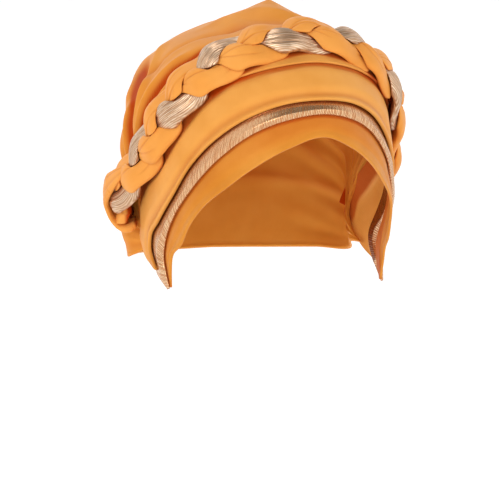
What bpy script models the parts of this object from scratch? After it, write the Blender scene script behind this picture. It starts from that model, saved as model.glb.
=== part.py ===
"""Braided turban: four wrapped bands round the face, a three-strand braid over the top, a slouchy crown.

The face looks along -Y, +X is the wearer's left and +Z is up. The origin is on the axis of the
head, level with the middle of the rim over the forehead. All sizes below are in millimetres.
"""
import bpy
import numpy as np

MM = 0.001

# Head form that the cloth is wrapped on
HEAD_HALF_WIDTH = 75.0
HEAD_HALF_DEPTH = 95.0
HEAD_RISE = 63.5
DOME_ROUNDNESS = 2.4
TAPER_PER_100 = 0.04
MM_PER_DEGREE = 1.4

# Cloth walls, and how far the middle of each wall lies off the head form
BAND_WALL = 1.0
CROWN_WALL = 1.2
INNER_LIFT = 0.9
GOLD_LIFT = 2.3
WIDE_LIFT = 3.7
UPPER_LIFT = 5.1

# Braid
BRAID_PERIOD = 95.0
BRAID_START = 10.0
BRAID_SWING = 7.4
BRAID_WEAVE = 2.4
STRAND_HALF_WIDTH = 8.6
STRAND_HALF_THICK = 3.2
STRAND_GAP = 1.25
PRESS_RATIO = 1.4
PRESS_SHARPNESS = 8
SMALLEST_ROOM = 0.4
BRAID_SEAT = 6.4
BRAID_END_SHRINK = 0.5
BRAID_END_SHARE = 0.14

# Mesh density
BAND_COLUMNS = 48
STRAND_RINGS = 120
STRAND_SIDES = 8
CROWN_COLUMNS = 32
CROWN_ROWS = 20

# Sections of each band from the middle of the forehead to its tip by the ear:
# turn round the head in degrees and rise over the rim, for the front edge and for the back edge
INNER_SECTIONS = (
    (0, 0.0, 0, 26.0),
    (13, -7.0, 12, 23.0),
    (27, -20.0, 24, 15.0),
    (37, -31.0, 36, 4.0),
    (51, -46.0, 51, -14.0),
    (59, -57.5, 63, -34.0),
    (66, -71.0, 76, -56.0),
    (73, -78.0, 86, -74.0),
    (75, -88.0, 84, -88.0),
    (76, -98.5, 78, -98.5),
)
GOLD_SECTIONS = (
    (0, 13.6, 0, 34.0),
    (13.7, 10.1, 13, 31.5),
    (26, 2.4, 25, 24.5),
    (39.6, -12.0, 38, 12.0),
    (57, -35.0, 56, -7.0),
    (70.6, -54.6, 72, -30.0),
    (78, -69.0, 88, -52.0),
    (80.5, -79.0, 98, -71.0),
    (79, -89.0, 91, -88.5),
    (76.5, -99.0, 78.5, -100.0),
)
WIDE_SECTIONS = (
    (0, 21.7, 0, 56.0),
    (13.7, 19.6, 17, 54.0),
    (25.8, 13.2, 30, 49.5),
    (39, 1.8, 43, 42.5),
    (55.8, -19.0, 57, 29.0),
    (69.5, -40.4, 74, 8.0),
    (82.8, -57.0, 95, -18.5),
    (93.5, -69.0, 118, -48.0),
    (94.5, -75.0, 119, -61.0),
    (92.5, -80.5, 109, -76.5),
    (88.0, -88.5, 91.5, -88.0),
)
UPPER_SECTIONS = (
    (0, 42.8, 0, 50.0),
    (15.5, 40.5, 16, 47.5),
    (32.7, 34.3, 34, 41.0),
    (51, 22.5, 52, 27.5),
    (66, 7.5, 67, 10.5),
    (75, -5.5, 76, -4.0),
)

# Centre line of the braid, from the middle to its end behind the ear: turn and rise, and how far
# the slack crown pushes it out
BRAID_LINE = (
    (0, 52.8, 0.0),
    (16, 50.5, 0.0),
    (40, 40.2, 0.0),
    (54, 27.5, 0.0),
    (70, 7.0, 0.0),
    (88, -17.0, 1.5),
    (103, -33.0, 6.5),
    (116, -46.0, 12.5),
    (118, -60.0, 13.0),
)

# Front edge of the crown under the braid and its hem at the nape: turn and rise
CROWN_FRONT = (
    (0, 53.5),
    (17, 51.0),
    (42, 40.5),
    (56, 27.0),
    (73, 7.0),
    (95, -15.5),
    (114.5, -36.0),
    (122.5, -53.0),
)
CROWN_HEM = (
    (0, -83.0),
    (20, -82.5),
    (40, -81.0),
    (60, -79.5),
    (76, -78.5),
)
CROWN_CENTRE = (0.0, 14.0, -38.0)

# Slack of the crown over the head form: share of the way from braid to hem, then the lift in the
# middle, at the side, behind the ear, beside the wide band and at the edge under it
SLACK_PLACES = (0.0, 0.55, 0.8, 0.875, 1.0)
CROWN_SLACK = (
    (0.00, 5.5, 5.5, 5.5, 5.2, 4.0),
    (0.06, 5.6, 5.6, 5.6, 3.6, 2.6),
    (0.12, 8.0, 6.2, 6.0, 2.6, 2.2),
    (0.20, 9.0, 7.8, 7.2, 2.2, 2.2),
    (0.30, 10.5, 9.2, 8.6, 2.2, 2.2),
    (0.38, 12.0, 10.5, 9.6, 2.2, 2.2),
    (0.60, 16.0, 13.0, 12.0, 2.2, 2.2),
    (0.80, 15.0, 14.0, 14.0, 2.2, 2.2),
    (0.93, 11.0, 12.5, 13.0, 2.2, 2.2),
    (1.00, 8.0, 10.5, 10.5, 2.2, 2.2),
)

# Folds of the crown that fan out from the ear ends: share of the way back, height and half width
CROWN_FOLDS = (
    (0.13, -2.8, 0.030),
    (0.24, 2.6, 0.050),
    (0.36, -3.8, 0.040),
    (0.52, 2.2, 0.060),
    (0.68, -2.6, 0.050),
    (0.82, 1.6, 0.050),
)

# How fast the folds fade towards the ears, and how much of them is left in the middle plane
FOLD_FADE = 6
FOLD_MIDDLE = 0.35

# Corner of the bag that stands up at the top: where, how high, how wide and how pointed
PEAK_ALONG = 0.04
PEAK_BACK = 0.25
PEAK_HEIGHT = 11.0
PEAK_HALF_ALONG = 0.17
PEAK_HALF_BACK = 0.10
PEAK_POINT = 1.3

# Colour, roughness and metallic value of each finish
FINISHES = {
    "orange": ((0.81, 0.36, 0.075, 1.0), 0.55, 0.0),
    "gold": ((0.56, 0.33, 0.16, 1.0), 0.35, 0.7),
}


def smooth(table, at):
    """Every column of a table read at new places, on a smooth curve through its rows.

    The first column is the place. Each stretch is a cubic whose slopes at its ends are the slopes
    between the rows beside it.
    """
    rows = np.array(table, float)
    key = rows[:, 0]
    slope = np.gradient(rows, key, axis=0)
    at = np.clip(np.asarray(at, float), key[0], key[-1])
    k = np.clip(np.searchsorted(key, at, side="right") - 1, 0, len(key) - 2)
    step = key[k + 1] - key[k]
    t = ((at - key[k]) / step)[..., None]
    step = step[..., None]
    start = rows[k] * (2 * t**3 - 3 * t**2 + 1) + slope[k] * step * (t**3 - 2 * t**2 + t)
    end = rows[k + 1] * (3 * t**2 - 2 * t**3) + slope[k + 1] * step * (t**3 - t**2)
    return (start + end)[..., 1:]


def both_sides(table, turns):
    """The rows for the wearer's right, then the left, each with its share of the way in front.

    The share goes from -1 at one ear over 0 in the middle plane to 1 at the other ear. The turns
    are the columns that change sign from one side to the other.
    """
    rows = np.array(table, float)
    step = np.diff(rows[:, :2], axis=0) * (MM_PER_DEGREE, 1.0)
    length = np.concatenate([[0.0], np.cumsum(np.hypot(step[:, 0], step[:, 1]))])
    left = np.column_stack([length / length[-1], rows])
    right = left[:0:-1].copy()
    right[:, 0] *= -1
    right[:, [turn + 1 for turn in turns]] *= -1
    return np.vstack([right, left])


def on_head(turn, rise, lift):
    """The point at a turn round the head and a rise over the rim, lifted off the head form.

    Over the rim the form is a dome whose section is a superellipse. Under it the wall goes down
    with a slight taper. The lift makes all three half axes longer.
    """
    turn = np.radians(turn)
    share = np.clip(rise, 0, None) / HEAD_RISE
    reach = np.clip(1 - share**DOME_ROUNDNESS, 0, None) ** (1 / DOME_ROUNDNESS)
    reach = reach * (1 - TAPER_PER_100 * (np.minimum(rise, 0) / 100) ** 2)
    across = np.sin(turn) / (HEAD_HALF_WIDTH + lift)
    along = np.cos(turn) / (HEAD_HALF_DEPTH + lift)
    radius = reach / np.hypot(across, along)
    height = np.where(rise > 0, share * (HEAD_RISE + lift), rise)
    return np.stack([radius * np.sin(turn), -radius * np.cos(turn), height], axis=-1)


def out_of_head(direction, lift):
    """The point where a ray from the middle of the crown leaves the lifted head form.

    The distance is halved in on, because the form has no closed formula along a slanted ray.
    """
    centre = np.array(CROWN_CENTRE)
    near = np.zeros(direction.shape[:-1])
    far = np.full(direction.shape[:-1], 3 * HEAD_HALF_DEPTH)
    for _ in range(40):
        middle = (near + far) / 2
        point = centre + middle[..., None] * direction
        low = 1 - TAPER_PER_100 * (np.minimum(point[..., 2], 0) / 100) ** 2
        flat = np.hypot(
            point[..., 0] / (HEAD_HALF_WIDTH + lift), point[..., 1] / (HEAD_HALF_DEPTH + lift)
        )
        tall = np.clip(point[..., 2], 0, None) / (HEAD_RISE + lift)
        inside = (flat / low) ** DOME_ROUNDNESS + tall**DOME_ROUNDNESS < 1
        near = np.where(inside, middle, near)
        far = np.where(inside, far, middle)
    return centre + near[..., None] * direction


def grid_mesh(name, points):
    """An open sheet of quads through a grid of points, with its faces pointing out."""
    rows, columns = points.shape[:2]
    index = np.arange(rows * columns).reshape(rows, columns)
    quads = np.stack([index[:-1, :-1], index[:-1, 1:], index[1:, 1:], index[1:, :-1]], axis=-1)
    mesh = bpy.data.meshes.new(name)
    mesh.from_pydata((points.reshape(-1, 3) * MM).tolist(), [], quads.reshape(-1, 4).tolist())
    return mesh


def finish(name, mesh, look, collection):
    """An object for the mesh, shaded smooth, with a material of its own."""
    piece = bpy.data.objects.new(name, mesh)
    collection.objects.link(piece)
    colour, roughness, metallic = FINISHES[look]
    material = bpy.data.materials.new(name)
    material.use_nodes = True
    shader = material.node_tree.nodes["Principled BSDF"]
    shader.inputs["Base Color"].default_value = colour
    shader.inputs["Roughness"].default_value = roughness
    shader.inputs["Metallic"].default_value = metallic
    mesh.materials.append(material)
    mesh.shade_smooth()
    return piece


def give_wall(piece, wall):
    """A cloth wall of even thickness round the sheet."""
    solidify = piece.modifiers.new("Wall", "SOLIDIFY")
    solidify.thickness = wall * MM
    solidify.offset = 0
    solidify.use_even_offset = True


def band(name, sections, lift, rows, look, collection):
    """A band of cloth from ear to ear, straight across from its front edge to its back edge."""
    along = np.linspace(-1, 1, BAND_COLUMNS + 1)
    section = smooth(both_sides(sections, (0, 2)), along)
    front_turn, front_rise, back_turn, back_rise = section.T
    back = np.linspace(0, 1, rows + 1)[:, None]
    turn = front_turn + (back_turn - front_turn) * back
    rise = front_rise + (back_rise - front_rise) * back
    points = on_head(turn, rise, lift)
    piece = finish(name, grid_mesh(name, points), look, collection)
    give_wall(piece, BAND_WALL)
    return piece


def braid_frame(length_at):
    """The centre line of the braid and its three directions at lengths along it.

    The directions are along the braid, out of the head and towards the face.
    """
    share = np.linspace(-1, 1, 801)
    turn, rise, push = smooth(both_sides(BRAID_LINE, (0,)), share).T
    half_thick = BRAID_WEAVE + STRAND_HALF_THICK
    to_end = np.clip((np.abs(share) - 1 + BRAID_END_SHARE) / BRAID_END_SHARE, 0, 1)
    ends = 1 - BRAID_END_SHRINK * to_end**2
    lift = BRAID_SEAT + half_thick * ends + push
    line_points = on_head(turn, rise, lift)
    under = on_head(turn, rise, lift - 1.0)
    step = np.linalg.norm(np.diff(line_points, axis=0), axis=1)
    length = np.concatenate([[0.0], np.cumsum(step)])

    def read(values):
        return np.stack([np.interp(length_at, length, column) for column in values.T], axis=-1)

    along = np.gradient(line_points, axis=0)
    along /= np.linalg.norm(along, axis=1)[:, None]
    out = line_points - under
    out -= along * (out * along).sum(axis=1)[:, None]
    out /= np.linalg.norm(out, axis=1)[:, None]
    face = np.cross(along, out)
    size = np.interp(length_at, length, ends)
    return read(line_points), read(out), read(face), size, length[-1]


def strand_rings(which, rings, sides):
    """Rings of points round one strand of the braid.

    A strand swings to and fro with the sine of its phase and goes over and under with the sine of
    twice its phase. Its section is an ellipse pressed flat where it meets the other two strands:
    each pair is parted by a line midway between their centres.
    """
    total = braid_frame(np.array([0.0]))[4]
    length = np.linspace(0.0, total, rings)
    centre, out, face, size, _ = braid_frame(length)
    phase = 2 * np.pi * (length - BRAID_START) / BRAID_PERIOD

    def place(number):
        turn = phase + 2 * np.pi * number / 3
        swing = BRAID_SWING * np.sin(turn)
        weave = BRAID_WEAVE * np.sin(2 * turn)
        return np.stack([swing, weave], axis=-1) * size[:, None]

    own = place(which)
    around = np.linspace(0, 2 * np.pi, sides, endpoint=False)
    way = np.stack([np.cos(around), np.sin(around)], axis=-1)
    press = np.array([1.0, PRESS_RATIO**2])
    ellipse = 1 / np.hypot(way[:, 0] / STRAND_HALF_WIDTH, way[:, 1] / STRAND_HALF_THICK)
    limits = [np.tile(ellipse, (rings, 1)) * size[:, None]]
    for other in range(3):
        if other == which:
            continue
        apart = place(other) - own
        normal = apart * press
        normal /= np.linalg.norm(normal, axis=1)[:, None]
        room = (apart * normal).sum(axis=1) / 2 - STRAND_GAP / 2
        towards = np.clip(normal @ way.T, 1e-3, None)
        limits.append(np.clip(room, SMALLEST_ROOM, None)[:, None] / towards)
    pressed = sum(limit**-PRESS_SHARPNESS for limit in limits)
    radius = pressed ** (-1 / PRESS_SHARPNESS)
    flat = own[:, None, :] + radius[:, :, None] * way
    return (
        centre[:, None, :]
        + flat[:, :, :1] * face[:, None, :]
        + flat[:, :, 1:] * out[:, None, :]
    )


def strand(name, which, look, collection):
    """One strand of the braid: a closed tube through its rings with a flat cap at each end."""
    points = strand_rings(which, STRAND_RINGS, STRAND_SIDES)
    rings, sides = points.shape[:2]
    index = np.arange(rings * sides).reshape(rings, sides)
    turned = np.roll(index, -1, axis=1)
    quads = np.stack([index[:-1], index[1:], turned[1:], turned[:-1]], axis=-1).reshape(-1, 4)
    faces = quads.tolist()
    faces.append(index[0].tolist())
    faces.append(index[-1, ::-1].tolist())
    mesh = bpy.data.meshes.new(name)
    mesh.from_pydata((points.reshape(-1, 3) * MM).tolist(), [], faces)
    return finish(name, mesh, look, collection)


def crown_directions(turn, rise):
    """Directions from the middle of the crown to an edge line, as a side angle and a tip angle.

    The side angle leans from the middle plane to the ear. The tip angle goes from the face over
    the top to the nape.
    """
    point = on_head(turn, rise, UPPER_LIFT) - np.array(CROWN_CENTRE)
    side = np.arctan2(point[:, 0], np.hypot(point[:, 1], point[:, 2]))
    tip = np.arctan2(point[:, 2], -point[:, 1])
    return side, np.where(tip < -np.pi / 2, tip + 2 * np.pi, tip)


def crown(name, look, collection):
    """The slouchy bag: a sheet swept from the braid over the head to the nape hem.

    Its lines run from ear to ear and fan out from the ends of the braid, so the folds do too.
    """
    along = np.linspace(-1, 1, CROWN_COLUMNS + 1)
    back = np.linspace(0, 1, CROWN_ROWS + 1)
    turn, rise = smooth(both_sides(CROWN_FRONT, (0,)), along).T
    front_side, front_tip = crown_directions(turn, rise)
    turn, rise = smooth(both_sides(CROWN_HEM, (0,)), along).T
    hem_side, hem_tip = crown_directions(180 - turn, rise)
    share = back[:, None]
    side = front_side + (hem_side - front_side) * share
    tip = front_tip + (hem_tip - front_tip) * share
    slack = np.column_stack([SLACK_PLACES, smooth(CROWN_SLACK, back).T])
    lift = smooth(slack, np.abs(along)).T
    out = np.clip(2 * np.abs(along), 0, 1)
    fade = (1 - np.abs(along) ** FOLD_FADE) * (FOLD_MIDDLE + (1 - FOLD_MIDDLE) * out)
    for place, height, width in CROWN_FOLDS:
        lift = lift + height * np.exp(-(((share - place) / width) ** 2)) * fade
    from_peak = np.hypot((along - PEAK_ALONG) / PEAK_HALF_ALONG, (share - PEAK_BACK) / PEAK_HALF_BACK)
    lift = lift + PEAK_HEIGHT * np.clip(1 - from_peak, 0, 1) ** PEAK_POINT
    direction = np.stack(
        [np.sin(side), -np.cos(side) * np.cos(tip), np.cos(side) * np.sin(tip)], axis=-1
    )
    points = out_of_head(direction, lift)
    piece = finish(name, grid_mesh(name, points), look, collection)
    give_wall(piece, CROWN_WALL)
    return piece


def main():
    """Clears the scene and builds the eight pieces."""
    for thing in list(bpy.data.objects):
        bpy.data.objects.remove(thing)
    turban = bpy.data.collections.new("braided_turban")
    bpy.context.scene.collection.children.link(turban)
    band("inner_band", INNER_SECTIONS, INNER_LIFT, 3, "orange", turban)
    band("gold_band", GOLD_SECTIONS, GOLD_LIFT, 2, "gold", turban)
    band("wide_band", WIDE_SECTIONS, WIDE_LIFT, 6, "orange", turban)
    band("upper_band", UPPER_SECTIONS, UPPER_LIFT, 2, "orange", turban)
    strand("braid_strand_gold", 0, "gold", turban)
    strand("braid_strand_orange_1", 1, "orange", turban)
    strand("braid_strand_orange_2", 2, "orange", turban)
    crown("crown", "orange", turban)


main()
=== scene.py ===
"""Braided turban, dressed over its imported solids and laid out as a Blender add-on.

Lengths in the tables are millimetres and turn into metres where a mesh is made. The face looks
along -Y, +X is the wearer's left, +Z is up, and the origin lies on the axis of the head, level
with the middle of the rim over the forehead.
"""
import math

import bpy
import numpy as np
from bpy.props import FloatProperty, FloatVectorProperty, PointerProperty
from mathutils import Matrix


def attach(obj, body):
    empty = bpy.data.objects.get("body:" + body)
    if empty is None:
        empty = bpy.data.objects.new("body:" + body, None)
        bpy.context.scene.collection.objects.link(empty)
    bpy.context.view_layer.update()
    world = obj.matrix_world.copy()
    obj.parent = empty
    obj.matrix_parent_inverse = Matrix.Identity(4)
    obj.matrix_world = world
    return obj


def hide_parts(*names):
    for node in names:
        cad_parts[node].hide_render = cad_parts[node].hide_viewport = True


bl_info = {
    "name": "Braided Turban",
    "version": (1, 0, 0),
    "blender": (4, 5, 0),
    "location": "View3D > Sidebar > Turban",
    "description": "Builds a ready-made braided turban in smooth and metallic stretch cloth",
    "category": "Add Mesh",
}

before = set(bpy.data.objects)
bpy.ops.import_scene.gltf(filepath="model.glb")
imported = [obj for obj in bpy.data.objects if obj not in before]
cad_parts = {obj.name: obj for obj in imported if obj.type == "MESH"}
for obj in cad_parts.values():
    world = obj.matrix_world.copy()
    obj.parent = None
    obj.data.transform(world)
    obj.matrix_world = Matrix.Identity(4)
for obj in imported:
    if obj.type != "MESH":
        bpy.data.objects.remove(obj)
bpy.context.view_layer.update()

MM = 0.001

# Head form that the cloth is wrapped on
HEAD_HALF_WIDTH = 75.0
HEAD_HALF_DEPTH = 95.0
HEAD_RISE = 63.5
DOME_ROUNDNESS = 2.4
TAPER_PER_100 = 0.04
MM_PER_DEGREE = 1.4

# How far the middle of each wall lies off the head form
INNER_LIFT = 0.9
GOLD_LIFT = 2.3
WIDE_LIFT = 3.7
UPPER_LIFT = 5.1

# Sections of each band from the middle of the forehead to its tip by the ear:
# turn round the head in degrees and rise over the rim, for the front edge and for the back edge
INNER_SECTIONS = (
    (0, 0, 0, 26),
    (13, -7, 12, 23),
    (27, -20, 24, 15),
    (37, -31, 36, 4),
    (51, -46, 51, -14),
    (59, -57.5, 63, -34),
    (66, -71, 76, -56),
    (73, -78, 86, -74),
    (75, -88, 84, -88),
    (76, -98.5, 78, -98.5),
)
GOLD_SECTIONS = (
    (0, 13.6, 0, 34),
    (13.7, 10.1, 13, 31.5),
    (26, 2.4, 25, 24.5),
    (39.6, -12, 38, 12),
    (57, -35, 56, -7),
    (70.6, -54.6, 72, -30),
    (78, -69, 88, -52),
    (80.5, -79, 98, -71),
    (79, -89, 91, -88.5),
    (76.5, -99, 78.5, -100),
)
WIDE_SECTIONS = (
    (0, 21.7, 0, 56),
    (13.7, 19.6, 17, 54),
    (25.8, 13.2, 30, 49.5),
    (39, 1.8, 43, 42.5),
    (55.8, -19, 57, 29),
    (69.5, -40.4, 74, 8),
    (82.8, -57, 95, -18.5),
    (93.5, -69, 118, -48),
    (94.5, -75, 119, -61),
    (92.5, -80.5, 109, -76.5),
    (88, -88.5, 91.5, -88),
)
UPPER_SECTIONS = (
    (0, 42.8, 0, 50),
    (15.5, 40.5, 16, 47.5),
    (32.7, 34.3, 34, 41),
    (51, 22.5, 52, 27.5),
    (66, 7.5, 67, 10.5),
    (75, -5.5, 76, -4),
)

# Centre line of the braid, from the middle to its end behind the ear: turn, rise and push out
BRAID_LINE = (
    (0, 54.3, 0),
    (16, 52.1, 0),
    (40, 42, 0),
    (54, 29.5, 0),
    (70, 8.8, 0),
    (88, -16.3, 1),
    (103, -33, 5),
    (115, -46, 5),
    (118, -59, 3.6),
)
BRAID_PERIOD = 95.0
BRAID_START = 10.0
BRAID_PULL = 7.5
BRAID_SEAT = 6.4
BRAID_SWING = 7.2
BRAID_WEAVE = 2.8
BRAID_HALF_WIDTH = 15.4
BRAID_END_SHRINK = 0.15
BRAID_END_SHARE = 0.14
BRAID_END_SWELL = 0.55
BRAID_HALF_THICK = 5.3
BRAID_EDGE_DROP = 2.8
BRAID_REST = 4.5
BRAID_INSET = 2.0
SECTION_POWER = 2.4
PRESS_RATIO = 3.6

# Cloth that wraps the end of the braid: length along the braid, height over its middle, place
# across it, half width and half thickness
END_WRAP = (
    (0.0, 54, 1, -2, 2, 1.2),
    (0.1, 46, 4, -2.5, 4, 1.6),
    (0.2, 38, 6.6, -2.5, 6, 2),
    (0.3, 30, 8.4, -2, 7.8, 2.4),
    (0.42, 20, 8.8, -0.5, 8.5, 2.4),
    (0.56, 10, 7, 1.5, 8.5, 2.1),
    (0.68, 3.6, 4.2, 3, 9, 2.1),
    (0.8, -0.8, -0.8, 4, 9.5, 2.6),
    (0.91, -2, -5.8, 4.5, 9.5, 3.4),
    (1.0, -0.5, -9.5, 4, 7, 2.5),
)

# Front edge of the crown under the braid and its hem at the nape: turn and rise
CROWN_FRONT = (
    (0, 53.5),
    (17, 51),
    (42, 40.5),
    (56, 27),
    (73, 5),
    (93, -20.5),
    (111.5, -43),
    (119, -57),
)
CROWN_HEM = (
    (0, -83),
    (20, -82.5),
    (40, -81),
    (60, -79.5),
    (76, -78.5),
)
CROWN_CENTRE = (0.0, 14.0, -38.0)

# Slack of the crown over the head form: share of the way from braid to hem, then the lift in the
# middle, at the side, behind the ear, beside the wide band and at the edge under it
SLACK_PLACES = (0.0, 0.55, 0.8, 0.875, 1.0)
CROWN_SLACK = (
    (0.0, 5.5, 5.5, 5.5, 5.5, 5.4),
    (0.06, 5.6, 5.6, 5.6, 5.3, 4.8),
    (0.12, 8, 6.2, 6, 4, 3.2),
    (0.2, 9, 7.8, 7.2, 2.2, 2.2),
    (0.3, 10.5, 9.2, 8.6, 2.2, 2.2),
    (0.38, 12, 10.5, 9.6, 2.2, 2.2),
    (0.6, 16, 13, 12, 2.2, 2.2),
    (0.8, 15, 14, 14, 2.2, 2.2),
    (0.93, 11, 12.5, 13, 2.2, 2.2),
    (1.0, 8, 10.5, 10.5, 2.2, 2.2),
)

# Folds of the crown: height, half width as a share, how sharp the line is and how much painted
# shade lies in its depth, both from 0 to 1. Rows of height 0 are lines of painted shade with no
# fold. Then comes the line, in pairs of a place along the crown, -1 and 1 at the ears, and a share
# of the way from the braid to the hem.
CROWN_FOLDS = (
    (-5.6, 0.026, 0.4, 0.45, -0.93, 0.215, -0.8, 0.237, -0.72, 0.253, -0.64, 0.275, -0.58, 0.304,
     -0.52, 0.333, -0.46, 0.369, -0.37, 0.408),
    (0, 0.019, 0.1, 1.15, -0.93, 0.255, -0.8, 0.268, -0.7, 0.281, -0.645, 0.291, -0.585, 0.332,
     -0.525, 0.363, -0.465, 0.386, -0.37, 0.408),
    (3.2, 0.036, 0, 0, -0.92, 0.29, -0.76, 0.305, -0.66, 0.325, -0.58, 0.365, -0.46, 0.43,
     -0.24, 0.47),
    (2.6, 0.022, 0.3, 0, -0.78, 0.222, -0.62, 0.234, -0.54, 0.252, -0.48, 0.285, -0.4, 0.33,
     -0.3, 0.35),
    (-1.2, 0.014, 0.6, 0.35, -0.8, 0.192, -0.66, 0.19, -0.58, 0.205, -0.5, 0.2, -0.42, 0.18),
    (0, 0.0075, 0.3, 1, -0.84, 0.16, -0.7, 0.162, -0.6, 0.16, -0.5, 0.138, -0.4, 0.114,
     -0.24, 0.094),
    (2.6, 0.018, 0.4, 0, -0.8, 0.176, -0.66, 0.178, -0.58, 0.173, -0.5, 0.156, -0.44, 0.14,
     -0.34, 0.128),
    (-5, 0.015, 0.6, 0.7, -0.84, 0.148, -0.7, 0.15, -0.62, 0.149, -0.56, 0.143, -0.5, 0.13,
     -0.44, 0.115, -0.36, 0.103, -0.28, 0.092),
    (1.6, 0.014, 0.3, 0, -0.8, 0.108, -0.62, 0.108, -0.52, 0.094, -0.44, 0.074, -0.32, 0.058),
    (-2.2, 0.022, 0.4, 0.4, -0.58, 0.262, -0.48, 0.258, -0.4, 0.234, -0.32, 0.199, -0.22, 0.165,
     -0.08, 0.15),
    (1, 0.022, 0.2, 0, -0.5, 0.215, -0.4, 0.205, -0.3, 0.165, -0.2, 0.12),
    (-3.6, 0.11, 0, 0, -0.6, 0.34, -0.48, 0.3, -0.34, 0.235, -0.24, 0.225, -0.12, 0.21),
    (2.6, 0.034, 0.3, 0, -0.3, 0.28, -0.12, 0.24, 0.04, 0.19, 0.18, 0.165, 0.38, 0.15),
    (-3, 0.04, 0.1, 0.3, -0.34, 0.17, -0.2, 0.16, -0.06, 0.14, 0.1, 0.1, 0.28, 0.085),
    (-3.4, 0.03, 0.4, 0.45, -0.8, 0.56, -0.4, 0.54, 0.3, 0.52),
    (2.2, 0.03, 0.2, 0, -0.85, 0.5, -0.4, 0.49, 0.1, 0.47),
    (-5.2, 0.028, 0.4, 0.65, -0.1, 0.41, 0.35, 0.36, 0.92, 0.31),
    (2.6, 0.034, 0.2, 0, 0.1, 0.47, 0.5, 0.44, 0.92, 0.38),
    (2.6, 0.03, 0.2, 0, 0.2, 0.25, 0.6, 0.262, 0.92, 0.25),
    (-4, 0.016, 0.6, 1, 0.28, 0.105, 0.5, 0.15, 0.7, 0.17, 0.9, 0.18),
    (1.8, 0.018, 0.3, 0, 0.34, 0.15, 0.54, 0.19, 0.9, 0.212),
    (-3.2, 0.03, 0.4, 0.45, -0.88, 0.68, 0, 0.64, 0.88, 0.67),
    (2.2, 0.032, 0.2, 0, -0.9, 0.76, -0.4, 0.74, 0.2, 0.76),
    (-2.6, 0.026, 0.4, 0.4, -0.2, 0.84, 0.4, 0.79, 0.9, 0.74),
    (-2, 0.024, 0.4, 0.35, -0.92, 0.83, -0.5, 0.85, 0.1, 0.88),
    (-2.6, 0.026, 0.4, 0.4, 0.15, 0.6, 0.55, 0.57, 0.92, 0.5),
)

# Corner of the bag that stands up at the top: where, how high and how wide
PEAK_ALONG = 0.052
PEAK_BACK = 0.25
PEAK_HEIGHT = 11.4
PEAK_HALF_ALONG = 0.19
PEAK_HALF_BACK = 0.10

# Bulge at the upper corner of the hanging end behind each ear: place, size and height
FLAP_ALONG = 0.765
FLAP_BACK = 0.80
FLAP_HALF_ALONG = 0.05
FLAP_HALF_BACK = 0.075
FLAP_HEIGHT = 3.6

# How far the wearer's left side lies in over the temple and stands out at the ear
SETTLE_IN = 3.6
SETTLE_OUT = 3.0

CLOTH_WALL = 1.0
CROWN_WALL = 1.2

# Radius of the rolled front edge and back edge of each piece
INNER_HEMS = (0.8, 0.5)
GOLD_HEMS = (0.8, 0.5)
WIDE_BACK_HEM = 0.6
UPPER_HEMS = (0.9, 0.5)
CROWN_HEMS = (0.6, 1.3)

# Picture: millimetres in a pixel at the axis of the head, width in pixels, and how many pixels the
# origin stands right of the middle and over it
PIXEL = 0.65
PICTURE_WIDTH = 499.0
ORIGIN_RIGHT = 15.5
ORIGIN_UP = 120.0

# Backdrop in metres: height and radius of the flat floor, radius of its bend, rise of the wall
FLOOR_RISE = -0.26
FLOOR_RADIUS = 3.0
BEND_RADIUS = 1.2
WALL_RISE = 5.0

# Grid of the surfaces
BAND_COLUMNS = 380
BAND_ACROSS = 48
CROWN_COLUMNS = 232
CROWN_ACROSS = 204
STRAND_RINGS = 760
STRAND_SIDES = 104
WRAP_RINGS = 140
WRAP_SIDES = 40
EDGE_STEPS = 6


def cubic(t, step, start, start_slope, end, end_slope):
    """The cubic between two values that has their slopes at its ends, at a part t of the step."""
    leave = start * (2 * t**3 - 3 * t**2 + 1) + start_slope * step * (t**3 - 2 * t**2 + t)
    arrive = end * (3 * t**2 - 2 * t**3) + end_slope * step * (t**3 - t**2)
    return leave + arrive


def stretch(key, at):
    """Which stretch of a rising key each place falls in, its length and the part of it passed."""
    k = np.clip(np.searchsorted(key, at, side="right") - 1, 0, len(key) - 2)
    step = key[k + 1] - key[k]
    return k, step, (at - key[k]) / step


def smooth(table, at):
    """Every column of a table read at new places, on a smooth curve through its rows.

    The first column is the place. The slope at a row is the slope between the rows beside it.
    """
    rows = np.array(table, float)
    key = rows[:, 0]
    slope = np.gradient(rows, key, axis=0)
    k, step, t = stretch(key, np.clip(np.asarray(at, float), key[0], key[-1]))
    read = cubic(t[..., None], step[..., None], rows[k], slope[k], rows[k + 1], slope[k + 1])
    return read[..., 1:]


def both_sides(table, turns):
    """The rows for the wearer's right, then the left, each with its share of the way in front.

    The share goes from -1 at one ear over 0 in the middle plane to 1 at the other ear. The turns
    are the columns that change sign from one side to the other.
    """
    rows = np.array(table, float)
    step = np.diff(rows[:, :2], axis=0) * (MM_PER_DEGREE, 1.0)
    length = np.concatenate([[0.0], np.cumsum(np.hypot(step[:, 0], step[:, 1]))])
    left = np.column_stack([length / length[-1], rows])
    right = left[:0:-1].copy()
    right[:, 0] *= -1
    right[:, [turn + 1 for turn in turns]] *= -1
    return np.vstack([right, left])


def on_head(turn, rise, lift):
    """The point at a turn round the head and a rise over the rim, lifted off the head form.

    Over the rim the form is a dome whose section is a superellipse. Under it the wall goes down
    with a slight taper. The lift makes all three half axes longer.
    """
    turn = np.radians(turn)
    share = np.clip(rise, 0, None) / HEAD_RISE
    reach = np.clip(1 - share**DOME_ROUNDNESS, 0, None) ** (1 / DOME_ROUNDNESS)
    reach = reach * (1 - TAPER_PER_100 * (np.minimum(rise, 0) / 100) ** 2)
    across = np.sin(turn) / (HEAD_HALF_WIDTH + lift)
    along = np.cos(turn) / (HEAD_HALF_DEPTH + lift)
    radius = reach / np.hypot(across, along)
    height = np.where(rise > 0, share * (HEAD_RISE + lift), rise)
    return np.stack([radius * np.sin(turn), -radius * np.cos(turn), height], axis=-1)


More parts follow.
